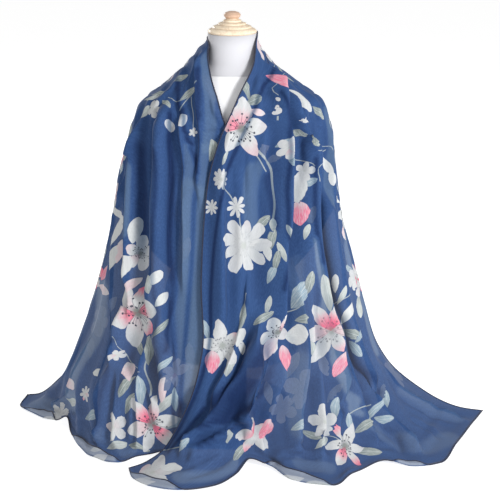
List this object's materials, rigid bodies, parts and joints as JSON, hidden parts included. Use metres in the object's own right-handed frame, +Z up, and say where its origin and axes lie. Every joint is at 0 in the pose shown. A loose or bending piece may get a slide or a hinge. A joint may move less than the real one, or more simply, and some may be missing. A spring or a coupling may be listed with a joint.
{
  "type": "voile scarf on a dress form",
  "caption": "Rectangular floral voile scarf worn as a shawl on a limbless dress form, lapped at the front, its ends spread on the floor.",
  "frame": {"origin": "on the dress form's axis, at the underside of its round base", "axes": "+Z up, +X to the viewer's right, -Y towards the front, where the scarf laps"},
  "size_m": [1.0587, 0.586, 0.9015],
  "materials": {
    "printed_voile": "sheer crinkled voile, blue with a pale flower print",
    "white_cover": "matt white jersey",
    "pale_wood": "turned, satin varnish"
  },
  "bodies": {
    "root": {"scarf_front_left": "printed_voile", "scarf_front_right": "printed_voile", "scarf_back": "printed_voile", "form_body": "white_cover", "form_cap": "pale_wood", "form_post": "pale_wood", "form_base": "pale_wood"}
  },
  "joints": []
}
